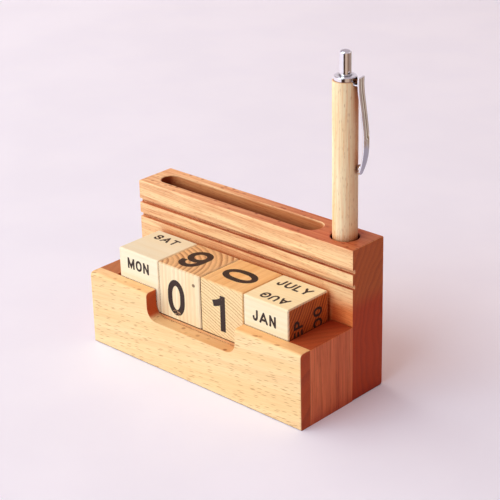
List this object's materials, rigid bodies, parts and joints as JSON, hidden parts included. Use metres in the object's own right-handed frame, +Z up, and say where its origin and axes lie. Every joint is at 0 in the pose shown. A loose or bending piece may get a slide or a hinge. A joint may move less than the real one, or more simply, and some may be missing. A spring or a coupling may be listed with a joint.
{
  "type": "desk calendar",
  "caption": "Wooden block calendar for a desk: loose lettered cubes in a windowed tray, a card slot behind them and a push-button pen in a bored hole.",
  "frame": {"origin": "centre of the wooden body's footprint, on the surface that it stands on", "axes": "+X to the right along the row of cubes, +Y to the back, +Z up; the windowed front board faces -Y"},
  "size_m": [0.126, 0.053, 0.1494],
  "materials": {
    "beech_board": "oiled beech, long grain, satin",
    "beech_end_block": "oiled beech, upright grain, satin",
    "cube_wood": "pale softwood, sanded and sealed",
    "pen_wood": "fine-grained turned wood, satin",
    "chrome": "bright chrome plate",
    "spring_steel": "drawn spring wire",
    "brass": "turned brass",
    "white_plastic": "moulded acetal",
    "refill_plastic": "ink-filled refill tube",
    "print_ink": "screen-printed black ink"
  },
  "bodies": {
    "calendar": {"back_block": "beech_board", "front_board": "beech_board", "end_block_left": "beech_end_block", "end_block_right": "beech_end_block", "floor_block": "beech_board"},
    "weekday_cube": {"cube_weekday": "cube_wood"},
    "tens_cube": {"cube_tens": "cube_wood"},
    "units_cube": {"cube_units": "cube_wood"},
    "month_cube": {"cube_month": "cube_wood"},
    "pen": {"pen_barrel": "pen_wood", "pen_nose_cone": "chrome", "pen_thread_insert": "brass", "pen_collar": "chrome", "pen_cam_sleeve": "white_plastic", "pen_spring": "spring_steel"},
    "clip": {"pen_clip": "chrome"},
    "push_button": {"pen_button": "chrome", "pen_cam_rotor": "white_plastic", "pen_refill_tube": "refill_plastic", "pen_refill_tip": "brass"}
  },
  "joints": [
    {"name": "lift_weekday", "type": "slide", "parent": "calendar", "child": "weekday_cube", "axis": [0, 0, 1], "range_m": [0, 0.05]},
    {"name": "lift_tens", "type": "slide", "parent": "calendar", "child": "tens_cube", "axis": [0, 0, 1], "range_m": [0, 0.05]},
    {"name": "lift_units", "type": "slide", "parent": "calendar", "child": "units_cube", "axis": [0, 0, 1], "range_m": [0, 0.05]},
    {"name": "lift_month", "type": "slide", "parent": "calendar", "child": "month_cube", "axis": [0, 0, 1], "range_m": [0, 0.05]},
    {"name": "lift_pen", "type": "slide", "parent": "calendar", "child": "pen", "axis": [0, 0, 1], "range_m": [0, 0.065]},
    {"name": "click", "type": "slide", "parent": "pen", "child": "push_button", "axis": [0, 0, -1], "range_m": [0, 0.005], "stiffness_N_per_m": 200, "springref_m": -0.003, "deforming": ["pen_spring"]},
    {"name": "clip_flex", "type": "hinge", "parent": "pen", "child": "clip", "pos_m": [0.05462, 0.0172, 0.1358], "axis": [0.1908, -0.9816, 0], "range_deg": [0, 4], "stiffness_Nm_per_rad": 0.3, "springref_deg": -1.15}
  ]
}
